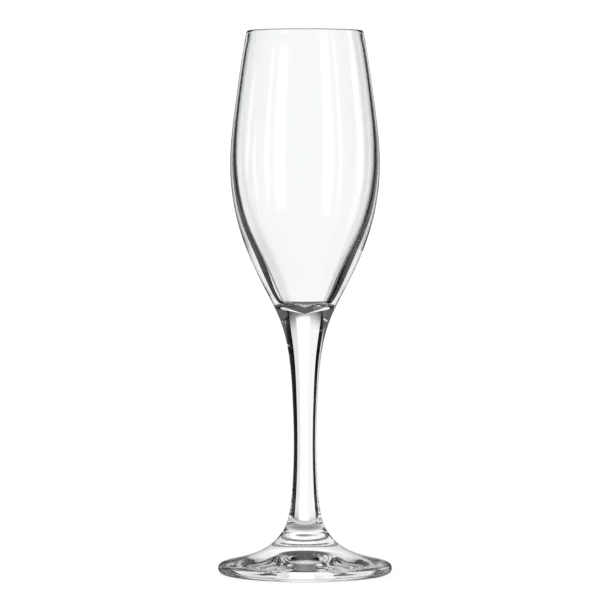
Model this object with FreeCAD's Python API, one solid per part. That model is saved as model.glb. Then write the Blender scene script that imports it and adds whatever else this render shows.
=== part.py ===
import FreeCAD, Part
import math
import os

# A stemmed sparkling-wine flute in clear glass, as three pieces that are fused by heat:
# a blown tulip bowl, a solid drawn stem and a pressed foot.
# Every piece is a solid of revolution about Z. Units are millimetres.
# The origin is on the table, at the centre of the ring that the foot rests on.

# ---- driving dimensions ----
HEIGHT = 206.0               # table to the top of the lip
FOOT_RADIUS = 33.0           # outermost edge of the foot
BOWL_RADIUS = 28.3           # widest part of the bowl, outside
MOUTH_RADIUS = 21.5          # centre line of the rounded lip
STEM_RADIUS = 4.25           # waist of the stem
BOWL_WELD_RADIUS = 9.1       # ring where the stem meets the bowl
FOOT_WELD_RADIUS = 8.3       # ring where the stem meets the foot

# ---- heights of the main features ----
WIDEST_Z = 153.0             # bowl is widest here
BOWL_WELD_Z = 95.5
WAIST_Z = 50.0               # stem is thinnest here
FOOT_WELD_Z = 16.2
CAVITY_FLOOR_Z = 100.4       # lowest point inside the bowl, on the axis

# ---- lip ----
LIP_THICKNESS = 1.3          # fire-polished to a full round
LIP_LEAN = 11.7              # degrees that the wall leans inward at the mouth

# ---- side: one flowing outline from the lip down to the foot weld ----
# Stations of the bowl: height, outer radius, wall thickness measured level.
BOWL_STATIONS = [
    (180.0, 26.1, 1.4),
    (WIDEST_Z, BOWL_RADIUS, 2.1),
    (130.0, 24.5, 3.3),
    (110.0, 16.1, 4.6),
]
# Stations of the stem: height, radius.
STEM_STATIONS = [
    (84.0, 6.25),
    (68.0, 4.8),
    (WAIST_Z, STEM_RADIUS),
    (33.0, 4.8),
    (22.0, 6.2),
]
STEM_BASE_SLOPE = 60.0       # degrees below level, at the foot weld ring

# ---- cavity floor: a shallow cone with a rounded edge and a rounded tip ----
FLOOR_SLOPE = 20.0           # degrees
FLOOR_EDGE_RADIUS = 8.3      # where the cone would meet the wall
WALL_FOOT_SLOPE = 60.0       # degrees above level of the wall where it meets the floor
FLOOR_EDGE_ROUND = 2.0
FLOOR_TIP_ROUND = 1.2

# ---- foot: flared hub, gently domed disc, rounded edge ----
HUB_TOP_SLOPE = 45.0         # degrees below level; the outline turns slightly at the weld
FOOT_STATIONS = [
    (14.0, 10.0),
    (9.3, 15.7),
    (4.4, 30.4),
]
EDGE_Z = 2.0                 # height of the outermost edge
BEARING_OUTER_RADIUS = 30.6  # flat ring that the glass stands on
BEARING_INNER_RADIUS = 24.3
HOLLOW_DEPTH = 4.3           # the underside rises to this at the centre

# ---- domed weld faces: the upper piece bulges into the lower one ----
WELD_BULGE = 1.5

TOP = FreeCAD.Vector(0, 0, 1)
CENTRE = FreeCAD.Vector(0, 0, 0)


def point(radius, height):
    return FreeCAD.Vector(radius, 0, height)


def heading(degrees):
    """Unit direction in the outline plane, measured up from the outward level line."""
    angle = math.radians(degrees)
    return point(math.cos(angle), math.sin(angle))


def line(start, end):
    return Part.LineSegment(start, end).toShape()


def arc(start, middle, end):
    return Part.Arc(start, middle, end).toShape()


def smooth_curve(points, start_heading, end_heading):
    curve = Part.BSplineCurve()
    curve.interpolate(
        Points=points,
        InitialTangent=heading(start_heading),
        FinalTangent=heading(end_heading),
    )
    return curve


def fillet_arc(corner, toward_start, toward_end, radius):
    """Arc that rounds a corner between two unit directions leading away from it."""
    half_angle = toward_start.getAngle(toward_end) / 2
    setback = radius / math.tan(half_angle)
    bisector = (toward_start + toward_end).normalize()
    centre = corner + bisector * (radius / math.sin(half_angle))
    return (
        corner + toward_start * setback,
        centre - bisector * radius,
        corner + toward_end * setback,
    )


def weld_face(radius, height):
    """Shallow dome shared by two fused pieces, from the axis out to the weld ring."""
    ball_radius = (radius ** 2 + WELD_BULGE ** 2) / (2 * WELD_BULGE)
    half_radius = radius / 2
    drop = math.sqrt(ball_radius ** 2 - half_radius ** 2) - (ball_radius - WELD_BULGE)
    return arc(
        point(0, height - WELD_BULGE),
        point(half_radius, height - drop),
        point(radius, height),
    )


def spin(edges):
    """Turn a closed half outline, which starts and ends on the axis, into a solid."""
    outline = Part.Wire(Part.__sortEdges__(edges))
    return Part.Face(outline).revolve(CENTRE, TOP, 360)


def lip_points():
    """Where the rounded lip meets the outer wall, its top, and where it meets the inner wall."""
    lip_radius = LIP_THICKNESS / 2
    lip_centre = point(MOUTH_RADIUS, HEIGHT - lip_radius)
    return (
        lip_centre + heading(LIP_LEAN) * lip_radius,
        lip_centre + heading(LIP_LEAN + 90) * lip_radius,
        lip_centre - heading(LIP_LEAN) * lip_radius,
    )


def side_above_and_below_weld():
    """The outer side as one smooth curve, parted at the weld ring between bowl and stem."""
    lip_outer, _, _ = lip_points()
    weld_ring = point(BOWL_WELD_RADIUS, BOWL_WELD_Z)
    stations = [lip_outer]
    stations += [point(radius, height) for height, radius, wall in BOWL_STATIONS]
    stations += [weld_ring]
    stations += [point(radius, height) for height, radius in STEM_STATIONS]
    stations += [point(FOOT_WELD_RADIUS, FOOT_WELD_Z)]
    side = smooth_curve(stations, LIP_LEAN - 90, -STEM_BASE_SLOPE)
    parting = side.parameter(weld_ring)
    return (
        side.toShape(side.FirstParameter, parting),
        side.toShape(parting, side.LastParameter),
    )


def make_bowl():
    lip_outer, lip_top, lip_inner = lip_points()
    side, _ = side_above_and_below_weld()

    floor_rise = FLOOR_EDGE_RADIUS * math.tan(math.radians(FLOOR_SLOPE))
    floor_edge = point(FLOOR_EDGE_RADIUS, CAVITY_FLOOR_Z + floor_rise)
    floor_tip = point(0, CAVITY_FLOOR_Z)
    edge_start, edge_middle, edge_end = fillet_arc(
        floor_edge, heading(WALL_FOOT_SLOPE), heading(180 + FLOOR_SLOPE), FLOOR_EDGE_ROUND
    )
    tip_start, tip_middle, _ = fillet_arc(
        floor_tip, heading(FLOOR_SLOPE), heading(180 - FLOOR_SLOPE), FLOOR_TIP_ROUND
    )
    inner = [lip_inner]
    inner += [point(radius - wall, height) for height, radius, wall in BOWL_STATIONS]
    inner += [edge_start]

    half_turn = math.radians(FLOOR_SLOPE / 2)
    tip_quarter = tip_middle + point(
        FLOOR_TIP_ROUND * math.sin(half_turn), FLOOR_TIP_ROUND * (1 - math.cos(half_turn))
    )
    return spin([
        weld_face(BOWL_WELD_RADIUS, BOWL_WELD_Z),
        side,
        arc(lip_outer, lip_top, lip_inner),
        smooth_curve(inner, LIP_LEAN - 90, WALL_FOOT_SLOPE - 180).toShape(),
        arc(edge_start, edge_middle, edge_end),
        line(edge_end, tip_start),
        arc(tip_start, tip_quarter, tip_middle),
        line(tip_middle, point(0, BOWL_WELD_Z - WELD_BULGE)),
    ])


def make_stem():
    _, side = side_above_and_below_weld()
    return spin([
        weld_face(BOWL_WELD_RADIUS, BOWL_WELD_Z),
        side,
        weld_face(FOOT_WELD_RADIUS, FOOT_WELD_Z),
        line(point(0, FOOT_WELD_Z - WELD_BULGE), point(0, BOWL_WELD_Z - WELD_BULGE)),
    ])


def make_foot():
    edge = point(FOOT_RADIUS, EDGE_Z)
    top = [point(FOOT_WELD_RADIUS, FOOT_WELD_Z)]
    top += [point(radius, height) for height, radius in FOOT_STATIONS]
    top += [edge]

    # The underside of the edge is a quarter of an ellipse.
    edge_curve = Part.Ellipse(
        edge, point(BEARING_OUTER_RADIUS, 0), point(BEARING_OUTER_RADIUS, EDGE_Z)
    )
    outer_bearing = point(BEARING_OUTER_RADIUS, 0)
    inner_bearing = point(BEARING_INNER_RADIUS, 0)
    hollow_top = point(0, HOLLOW_DEPTH)
    return spin([
        weld_face(FOOT_WELD_RADIUS, FOOT_WELD_Z),
        smooth_curve(top, -HUB_TOP_SLOPE, -90).toShape(),
        Part.ArcOfEllipse(edge_curve, 0, math.pi / 2).toShape(),
        line(outer_bearing, inner_bearing),
        smooth_curve([inner_bearing, hollow_top], 180, 180).toShape(),
        line(hollow_top, point(0, FOOT_WELD_Z - WELD_BULGE)),
    ])


PIECES = {
    "bowl": make_bowl,
    "stem": make_stem,
    "foot": make_foot,
}

os.makedirs("parts", exist_ok=True)
for name, make in PIECES.items():
    solid = make()
    solid.exportStep("parts/" + name + ".step")
    print(name, round(solid.Volume / 1000, 2), "cm3", "valid", solid.isValid())
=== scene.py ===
import math
from collections import namedtuple

import bmesh
import bpy
import numpy as np
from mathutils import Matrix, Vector


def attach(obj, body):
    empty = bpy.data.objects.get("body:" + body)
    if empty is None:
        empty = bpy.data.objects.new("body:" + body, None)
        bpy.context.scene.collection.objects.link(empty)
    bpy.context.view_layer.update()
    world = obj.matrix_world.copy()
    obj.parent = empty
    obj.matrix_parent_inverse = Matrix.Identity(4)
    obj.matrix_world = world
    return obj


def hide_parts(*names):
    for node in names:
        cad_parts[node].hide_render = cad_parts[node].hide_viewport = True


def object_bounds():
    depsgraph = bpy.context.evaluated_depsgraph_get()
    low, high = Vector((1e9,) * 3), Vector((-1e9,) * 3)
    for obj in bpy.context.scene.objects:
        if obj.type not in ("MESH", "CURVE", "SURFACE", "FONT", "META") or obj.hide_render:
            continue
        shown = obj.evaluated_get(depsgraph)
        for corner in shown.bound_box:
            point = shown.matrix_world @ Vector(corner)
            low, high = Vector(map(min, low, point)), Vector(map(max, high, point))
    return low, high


# A clear glass flute on a white table, in front of a bright backdrop with dark flags beside it.
# Lengths are metres in the CAD frame: the glass stands on z = 0 with its axis on Z.

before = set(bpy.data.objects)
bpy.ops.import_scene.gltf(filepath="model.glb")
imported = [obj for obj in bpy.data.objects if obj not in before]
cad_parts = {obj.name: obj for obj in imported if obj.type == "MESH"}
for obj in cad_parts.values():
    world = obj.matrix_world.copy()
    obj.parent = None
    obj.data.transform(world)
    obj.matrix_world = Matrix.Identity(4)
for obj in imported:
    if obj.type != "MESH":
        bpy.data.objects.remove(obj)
CAD_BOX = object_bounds()

MM = 0.001
TABLE_Z = CAD_BOX[0].z           # the flute stands on the table


# ---- outlines, read from the CAD solids ----
# Every CAD piece is round, and its mesh has a seam of vertices in the X-Z plane
# that lie exactly on its true outline.
ON_PLANE = 1e-7                  # a vertex this close to a plane or to the axis lies on it
DIGITS = 7                       # seam points that agree to this many decimals are one point
CORNER_TURN = math.radians(30)   # the outline turns by more than this only at a weld ring

# ---- mesh fineness ----
SEGMENTS = 224                   # facets round the axis
LONGEST_STEP = 1.0 * MM          # along the outline
SHORTEST_STEP = 0.05 * MM
STEP_GROWTH = 0.35               # how fast steps may lengthen away from the ends of a stretch
MOST_TURN = math.radians(3)      # from one step to the next, where the outline curves
LEAST_TURN = 1e-6                # in radians; less than this counts as straight


def trace_outline(node):
    """Half outline of a round CAD piece, in order, from its lowest axis point to its highest."""
    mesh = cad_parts[node].data
    seam = {
        vertex.index: (round(vertex.co.x, DIGITS), round(vertex.co.z, DIGITS))
        for vertex in mesh.vertices
        if abs(vertex.co.y) < ON_PLANE and vertex.co.x > -ON_PLANE
    }
    links = {}
    for edge in mesh.edges:
        a, b = (seam.get(index) for index in edge.vertices)
        if a is not None and b is not None and a != b:
            links.setdefault(a, set()).add(b)
            links.setdefault(b, set()).add(a)
    first, *_, last = sorted((p for p in links if p[0] < ON_PLANE), key=lambda p: p[1])
    path = [first]
    while path[-1] != last:
        path.append(next(p for p in links[path[-1]] if p not in path))
    return np.array(path)


def split_at_corners(path):
    """The smooth stretches of an outline between its sharp corners."""
    steps = np.diff(path, axis=0)
    heading = np.arctan2(steps[:, 1], steps[:, 0])
    turn = np.abs((np.diff(heading) + math.pi) % (2 * math.pi) - math.pi)
    corners = [0, *(np.flatnonzero(turn > CORNER_TURN) + 1), len(path) - 1]
    return [path[a:b + 1] for a, b in zip(corners, corners[1:])]


def spline(points):
    """Cubic spline through points by chord length: its whole length, and a function of length."""
    gaps = np.hypot(*np.diff(points, axis=0).T)
    at = np.concatenate([[0], np.cumsum(gaps)])
    count = len(points)

    # One equation for the second derivative at each inner point.
    matrix = np.eye(count)
    slope_change = np.zeros((count, 2))
    for i in range(1, count - 1):
        before, after = gaps[i - 1], gaps[i]
        matrix[i, i - 1:i + 2] = before, 2 * (before + after), after
        slope_before = (points[i] - points[i - 1]) / before
        slope_after = (points[i + 1] - points[i]) / after
        slope_change[i] = 6 * (slope_after - slope_before)
    # At each end the first two gaps share one cubic, if there are points enough.
    if count > 3:
        matrix[0, :3] = gaps[1], -gaps[0] - gaps[1], gaps[0]
        matrix[-1, -3:] = gaps[-1], -gaps[-1] - gaps[-2], gaps[-2]
    bend = np.linalg.solve(matrix, slope_change)

    def place(s):
        i = min(max(int(np.searchsorted(at, s)) - 1, 0), count - 2)
        gap = gaps[i]
        a, b = (at[i + 1] - s) / gap, (s - at[i]) / gap
        return (
            a * points[i] + b * points[i + 1]
            + ((a ** 3 - a) * bend[i] + (b ** 3 - b) * bend[i + 1]) * gap * gap / 6
        )

    return at[-1], place


def resample(stretch):
    """The same stretch in fine steps, shorter where it curves and next to its ends."""
    length, place = spline(stretch)
    probe = SHORTEST_STEP
    s = 0.0
    fine = [place(s)]
    while s < length:
        middle = min(max(s, probe), length - probe)
        first = place(middle) - place(middle - probe)
        second = place(middle + probe) - place(middle)
        turn = abs(math.atan2(first[0] * second[1] - first[1] * second[0], first @ second))
        step = min(
            LONGEST_STEP,
            probe * MOST_TURN / max(turn, LEAST_TURN),
            SHORTEST_STEP + STEP_GROWTH * min(s, length - s),
        )
        s += max(step, SHORTEST_STEP)
        if length - s < SHORTEST_STEP:
            s = length
        fine.append(place(s))
    return fine


def fine_outline(node, welds):
    """A CAD node's outline in fine steps, which steps are a weld, and where the corners are."""
    stretches = split_at_corners(trace_outline(node))
    welds = [index % len(stretches) for index in welds]
    outline, is_weld, stretch_ends = [stretches[0][0]], [], []
    for index, stretch in enumerate(stretches):
        fine = resample(stretch)[1:]
        outline += fine
        is_weld += [index in welds] * len(fine)
        stretch_ends.append(len(outline) - 1)
    return outline, is_weld, stretch_ends[:-1]


# ---- lathe ----
def circle(radius, height, sides):
    """Evenly spaced points round the Z axis."""
    turns = [2 * math.pi * k / sides for k in range(sides)]
    return [(radius * math.cos(turn), radius * math.sin(turn), height) for turn in turns]


def add_ring(work, radius, height):
    """One vertex on the axis, or a circle of them round it."""
    height = max(height, TABLE_Z)
    if radius < ON_PLANE:
        return [work.verts.new((0, 0, height))]
    return [work.verts.new(place) for place in circle(radius, height, SEGMENTS)]


def add_band(work, lower, upper, is_weld):
    """The faces between two rings: quads, or triangles if one ring is a vertex on the axis."""
    for k in range(SEGMENTS):
        n = (k + 1) % SEGMENTS
        if len(lower) == 1:
            corners = lower[0], upper[n], upper[k]
        elif len(upper) == 1:
            corners = lower[k], lower[n], upper[0]
        else:
            corners = lower[k], lower[n], upper[n], upper[k]
        face = work.faces.new(corners)
        face.smooth = True
        face.material_index = int(is_weld)


def sharpen(work, ring):
    """Keep the shading apart on the two sides of a corner of the outline."""
    for k in range(SEGMENTS):
        work.edges.get((ring[k], ring[(k + 1) % SEGMENTS])).smooth = False


def lathe(name, node, welds):
    """Round mesh from a CAD node's outline. welds: which stretches meet the next piece's glass."""
    outline, is_weld, corners = fine_outline(node, welds)
    work = bmesh.new()
    rings = [add_ring(work, radius, height) for radius, height in outline]
    for band in zip(rings, rings[1:], is_weld):
        add_band(work, *band)
    for index in corners:
        sharpen(work, rings[index])
    work.normal_update()
    mesh = bpy.data.meshes.new(name)
    work.to_mesh(mesh)
    work.free()
    made = bpy.data.objects.new(name, mesh)
    bpy.context.scene.collection.objects.link(made)
    return made


# ---- node helpers ----
class Graph:
    """A node tree that is filled by short calls. math, ramp, between and mix return an output."""

    def __init__(self, owner):
        owner.use_nodes = True
        self.nodes = owner.node_tree.nodes
        self.links = owner.node_tree.links
        self.nodes.clear()

    def feed(self, socket, value):
        """Link an output socket to an input socket, or set the input to a plain value."""
        if isinstance(value, bpy.types.NodeSocket):
            self.links.new(value, socket)
        else:
            socket.default_value = value

    def node(self, kind, settings=(), **inputs):
        """A new node. Underscores stand for the spaces in the names of its inputs."""
        made = self.nodes.new(kind)
        for name, value in dict(settings).items():
            setattr(made, name, value)
        for name, value in inputs.items():
            self.feed(made.inputs[name.replace("_", " ")], value)
        return made

    def math(self, operation, *values):
        made = self.nodes.new("ShaderNodeMath")
        made.operation = operation
        for socket, value in zip(made.inputs, values):
            self.feed(socket, value)
        return made.outputs[0]

    def ramp(self, value, low, high, to_low=0.0, to_high=1.0):
        """Smooth change from to_low to to_high while value goes from low to high."""
        made = self.nodes.new("ShaderNodeMapRange")
        made.interpolation_type = "SMOOTHSTEP"
        for socket, number in zip(made.inputs, (value, low, high, to_low, to_high)):
            self.feed(socket, number)
        return made.outputs[0]

    def between(self, factor, low, high, kind="FLOAT"):
        """low where factor is 0 and high where it is 1; kind is FLOAT or RGBA."""
        made = self.nodes.new("ShaderNodeMix")
        made.data_type = kind
        in_use = [socket for socket in made.inputs if socket.enabled]
        for socket, value in zip(in_use, (factor, low, high)):
            self.feed(socket, value)
        return next(socket for socket in made.outputs if socket.enabled)

    def mix(self, factor, first, second):
        """Mix Shader: first where factor is 0, second where it is 1."""
        made = self.nodes.new("ShaderNodeMixShader")
        for socket, value in zip(made.inputs, (factor, first, second)):
            self.feed(socket, value)
        return made.outputs[0]


# ---- materials ----
# The three pieces are one colourless soda-lime glass. They differ in the surface
# that their ways of making leave.
GLASS_IOR = 1.52
CLEAREST = (0.985, 0.989, 0.988, 1)
GREENEST = (0.965, 0.982, 0.976, 1)   # streaks that hold a little more iron
PASSED_ON = (0.97, 0.97, 0.97, 1)     # what one surface of glass lets through to the table

SMUDGE_HAZE = 0.025                   # roughness where fingers have touched
SCUFF_HAZE = 0.16                     # roughness where the foot rubs on tables
SCUFF_TOP = 0.35 * MM                 # the scuffs fade out below this height

WAVE_SHARE = 0.4                      # of the bowl's relief; the rest is cords
BLOWN_RELIEF = 0.02 * MM
DRAWN_RELIEF = 0.006 * MM
PRESSED_RELIEF = 0.05 * MM


def noise(g, place, scale, detail=2.0, length=1.0):
    """Even noise from 0 to 1, with scale in patches per metre. Length stretches them along Z."""
    drawn_out = g.node("ShaderNodeMapping", Vector=place, Scale=(1, 1, 1 / length)).outputs[0]
    return g.node("ShaderNodeTexNoise", Vector=drawn_out, Scale=scale, Detail=detail).outputs[0]


def smudges(g, place):
    """Roughness of clean glass with a few faint hazy patches."""
    patches = noise(g, place, scale=38.0, detail=5.0)
    return g.ramp(patches, low=0.58, high=0.8, to_high=SMUDGE_HAZE)


def blown(g, place):
    """The bowl: long faint cords from the gather, over slow waves in the wall."""
    cords = noise(g, place, scale=150.0, detail=1.0, length=14.0)
    waves = noise(g, place, scale=45.0, detail=1.0, length=2.0)
    return smudges(g, place), g.between(WAVE_SHARE, cords, waves), BLOWN_RELIEF


def drawn(g, place):
    """The stem: fine streaks along the pull."""
    streaks = noise(g, place, scale=420.0, detail=1.0, length=40.0)
    return smudges(g, place), streaks, DRAWN_RELIEF


def pressed(g, place):
    """The foot: shallow ripples from the press, and scuffs on the ring it stands on."""
    ripples = noise(g, place, scale=95.0, detail=1.5)
    height = g.node("ShaderNodeSeparateXYZ", Vector=place).outputs["Z"]
    low_down = g.ramp(height, TABLE_Z, TABLE_Z + SCUFF_TOP, to_low=1.0, to_high=0.0)
    rubs = noise(g, place, scale=900.0, detail=4.0)
    marks = g.ramp(rubs, low=0.45, high=0.65, to_high=SCUFF_HAZE)
    roughness = g.math("MAXIMUM", smudges(g, place), g.math("MULTIPLY", low_down, marks))
    return roughness, ripples, PRESSED_RELIEF


def glass(name, surface):
    """Clear glass; surface(g, place) gives its roughness, its relief and the relief's depth."""
    material = bpy.data.materials.new(name)
    g = Graph(material)
    place = g.node("ShaderNodeTexCoord").outputs["Object"]
    roughness, relief, depth = surface(g, place)
    streaks = noise(g, place, scale=60.0, detail=2.0, length=3.0)
    iron = g.ramp(streaks, low=0.35, high=0.75)
    body = g.node(
        "ShaderNodeBsdfPrincipled",
        Base_Color=g.between(iron, CLEAREST, GREENEST, "RGBA"),
        Roughness=roughness,
        IOR=GLASS_IOR,
        Normal=g.node("ShaderNodeBump", Height=relief, Distance=depth).outputs[0],
        Transmission_Weight=1.0,
    ).outputs[0]
    rays = g.node("ShaderNodeLightPath").outputs
    clear = g.node("ShaderNodeBsdfTransparent", Color=PASSED_ON).outputs[0]
    body = g.mix(rays["Is Shadow Ray"], body, clear)
    body = g.mix(rays["Is Diffuse Ray"], body, clear)
    g.node("ShaderNodeOutputMaterial", Surface=body)
    return material


def weld():
    """Where two pieces are fused there is glass on both sides, so nothing shows."""
    material = bpy.data.materials.new("weld")
    g = Graph(material)
    g.node("ShaderNodeOutputMaterial", Surface=g.node("ShaderNodeBsdfTransparent").outputs[0])
    return material


# ---- pieces ----
WELD = weld()


def piece(node, surface, welds):
    """One piece of the flute. Outline stretch 0 is the lowest and -1 the highest."""
    made = lathe(node + "_glass", node, welds)
    made.data.materials.append(glass(surface.__name__ + "_glass", surface))
    made.data.materials.append(WELD)
    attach(made, "root")
    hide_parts(node)


piece("bowl", blown, welds=[0])
piece("stem", drawn, welds=[0, -1])
piece("foot", pressed, welds=[-1])


# ---- studio objects ----
def card(name, corners, material):
    """A flat object of the studio, which is not part of the flute."""
    mesh = bpy.data.meshes.new(name)
    mesh.from_pydata(corners, [], [range(len(corners))])
    mesh.materials.append(material)
    made = bpy.data.objects.new(name, mesh)
    bpy.context.scene.collection.objects.link(made)
    return made


def show_through_glass_only(made):
    made.visible_camera = False
    made.visible_diffuse = False
    made.visible_glossy = False
    made.visible_shadow = False


# ---- table ----
TABLE_REACH = 3.0                # from the middle to each side
TABLE_WHITE = 0.96
# The disc of table that shows through the foot. Its middle carries painted shade, darker under the
# hub.
DISC_RADIUS = 34 * MM
DISC_DROP = 0.2 * MM             # below the table's top
DISC_SIDES = 96
PAINTED_SHADE_WHITE = 0.35               # painted shade: the disc's colour in the middle, out to the radius below
PAINTED_SHADE_RADIUS = 8 * MM
PAINTED_SHADE_END = 20 * MM              # the painted shade ends here: the disc is as white as the table from here on


def table_white(name, painted_shade):
    material = bpy.data.materials.new(name)
    g = Graph(material)
    white = TABLE_WHITE
    # Painted shade: the disc's colour darkens toward its middle, under the hub of the foot.
    if painted_shade:
        place = g.node("ShaderNodeTexCoord").outputs["Object"]
        measure = g.node("ShaderNodeVectorMath", {"operation": "LENGTH"}, Vector=place)
        from_middle = measure.outputs["Value"]
        white = g.ramp(from_middle, PAINTED_SHADE_RADIUS, PAINTED_SHADE_END, PAINTED_SHADE_WHITE, TABLE_WHITE)
    colour = g.node("ShaderNodeCombineColor", Red=white, Green=white, Blue=white).outputs[0]
    paper = g.node("ShaderNodeBsdfPrincipled", Base_Color=colour, Roughness=1.0)
    paper.inputs["Specular IOR Level"].default_value = 0.0
    g.node("ShaderNodeOutputMaterial", Surface=paper.outputs[0])
    return material


def table():
    """A white top for the camera, and a disc of it for what is seen through the foot.

    Beside the disc, the glass sees the studio below the horizon and not the table.
    """
    reach = TABLE_REACH
    corners = [
        (-reach, -reach, TABLE_Z), (reach, -reach, TABLE_Z),
        (reach, reach, TABLE_Z), (-reach, reach, TABLE_Z),
    ]
    top = card("table", corners, table_white("table", painted_shade=False))
    top.visible_transmission = False
    top.visible_glossy = False
    rim = circle(DISC_RADIUS, TABLE_Z - DISC_DROP, DISC_SIDES)
    # This disc's material carries painted shade in its middle.
    disc = card("table_disc", rim, table_white("table_under_foot_painted_shade", painted_shade=True))
    show_through_glass_only(disc)


table()


# ---- camera ----
CAMERA_DISTANCE = 1.400
CAMERA_HEIGHT = 0.1535
AIM_HEIGHT = 0.104               # what is at the middle of the picture
ASIDE = -0.0019                  # the glass stands a little right of the middle
PICTURE_WIDTH = 0.2276           # at the glass
FARTHEST_SEEN = 100              # metres from the camera


def camera():
    data = bpy.data.cameras.new("camera")
    made = bpy.data.objects.new("camera", data)
    bpy.context.scene.collection.objects.link(made)
    made.location = (ASIDE, -CAMERA_DISTANCE, CAMERA_HEIGHT)
    sight = Vector((ASIDE, 0, AIM_HEIGHT)) - made.location
    made.rotation_euler = sight.to_track_quat("-Z", "Y").to_euler()
    data.lens = data.sensor_width * sight.length / PICTURE_WIDTH
    data.clip_end = FARTHEST_SEEN
    return made


# ---- studio ----
# Only the glass sees the studio: the camera and the table see plain white.
# Each far panel is placed by directions from the camera's line of sight, in degrees:
# left and right are azimuths, and bottom and top are elevations. soft is how far its
# edge fades each way. A later panel hides an earlier one.
Panel = namedtuple("Panel", "left right bottom top soft brightness")

WHITE = 1.05
ROOM = 0.16                      # brightness where there is no panel
LIGHTS = [
    # left softbox
    Panel(left=-148, right=-131, bottom=-23, top=18, soft=2, brightness=1.7),
    # left strip
    Panel(left=-120, right=-114, bottom=-18, top=17, soft=1.5, brightness=1.2),
    # side strips
    Panel(left=-82, right=-75, bottom=-4, top=12, soft=1.5, brightness=1.3),
    Panel(left=79, right=87, bottom=-8, top=13, soft=1.5, brightness=1.3),
]
# These show only through the glass, and not as a reflection on it.
BACKDROPS = [
    # the whole backdrop
    Panel(left=-75, right=75, bottom=-25, top=29, soft=13, brightness=0.88),
    # its left half, nearer the left softbox
    Panel(left=-75, right=0, bottom=-25, top=29, soft=13, brightness=1.03),
    # its bright middle
    Panel(left=-9, right=16, bottom=-26, top=31, soft=2, brightness=1.14),
]


def within(g, angle, low, high, soft):
    """1 from low to high and 0 beyond them, with both ends faded by soft each way."""
    from_middle = g.math("ABSOLUTE", g.math("SUBTRACT", angle, (low + high) / 2))
    reach = (high - low) / 2
    return g.ramp(from_middle, reach - soft, reach + soft, to_low=1.0, to_high=0.0)


def inside(g, azimuth, elevation, panel):
    """1 inside a panel and 0 outside it."""
    return g.math(
        "MULTIPLY",
        within(g, azimuth, panel.left, panel.right, panel.soft),
        within(g, elevation, panel.bottom, panel.top, panel.soft),
    )


def direction(g):
    """Azimuth and elevation, in degrees, of a ray against the camera's line of sight."""
    way = g.node("ShaderNodeTexCoord").outputs["Camera"]
    way = g.node("ShaderNodeVectorMath", {"operation": "NORMALIZE"}, Vector=way).outputs[0]
    split = g.node("ShaderNodeSeparateXYZ", Vector=way).outputs
    azimuth = g.math("DEGREES", g.math("ARCTAN2", split["X"], split["Z"]))
    elevation = g.math("DEGREES", g.math("ARCSINE", split["Y"]))
    return azimuth, elevation


def studio():
    world = bpy.data.worlds.new("studio")
    world.cycles.sampling_method = "NONE"
    g = Graph(world)
    azimuth, elevation = direction(g)
    rays = g.node("ShaderNodeLightPath").outputs

    light = ROOM
    for panel in LIGHTS:
        light = g.between(inside(g, azimuth, elevation, panel), light, panel.brightness)
    for panel in BACKDROPS:
        covers = inside(g, azimuth, elevation, panel)
        shows = g.math("MULTIPLY", rays["Is Transmission Ray"], covers)
        light = g.between(shows, light, panel.brightness)
    plain = g.math("MAXIMUM", rays["Is Camera Ray"], rays["Is Diffuse Ray"])
    strength = g.between(plain, light, WHITE)
    shown = g.node("ShaderNodeBackground", Color=(1, 1, 1, 1), Strength=strength)
    g.node("ShaderNodeOutputWorld", Surface=shown.outputs[0])
    return world


# ---- flags ----
# Two black flags stand behind the glass, one on each side, and turn with the camera.
FLAG_DISTANCE = 131 * MM
FLAG_BOTTOM, FLAG_TOP = -250 * MM, 300 * MM      # from the height that the camera aims at
FLAG_SIDES = {
    "left_flag": (-170 * MM, -80 * MM),
    "right_flag": (77.5 * MM, 500 * MM),
}


def black():
    material = bpy.data.materials.new("black_flag")
    g = Graph(material)
    shown = g.node("ShaderNodeEmission", Strength=0.0)
    g.node("ShaderNodeOutputMaterial", Surface=shown.outputs[0])
    return material


def flags():
    material = black()
    for name, (left, right) in FLAG_SIDES.items():
        edges = [(left, FLAG_BOTTOM), (right, FLAG_BOTTOM), (right, FLAG_TOP), (left, FLAG_TOP)]
        made = card(name, [(x, y, -FLAG_DISTANCE) for x, y in edges], material)
        made.location = (0, 0, AIM_HEIGHT)
        made.constraints.new("COPY_ROTATION").target = bpy.context.scene.camera
        show_through_glass_only(made)


# ---- scene ----
DISPLAY_GAMMA = 0.85
# Light meets many surfaces of clear glass before it leaves.
MOST_BOUNCES = 32
MOST_GLOSSY_BOUNCES = 16

scene = bpy.context.scene
scene.camera = camera()
scene.world = studio()
flags()
scene.view_settings.view_transform = "Standard"
scene.view_settings.gamma = DISPLAY_GAMMA
scene.cycles.max_bounces = MOST_BOUNCES
scene.cycles.transmission_bounces = MOST_BOUNCES
scene.cycles.glossy_bounces = MOST_GLOSSY_BOUNCES
scene.cycles.transparent_max_bounces = MOST_BOUNCES
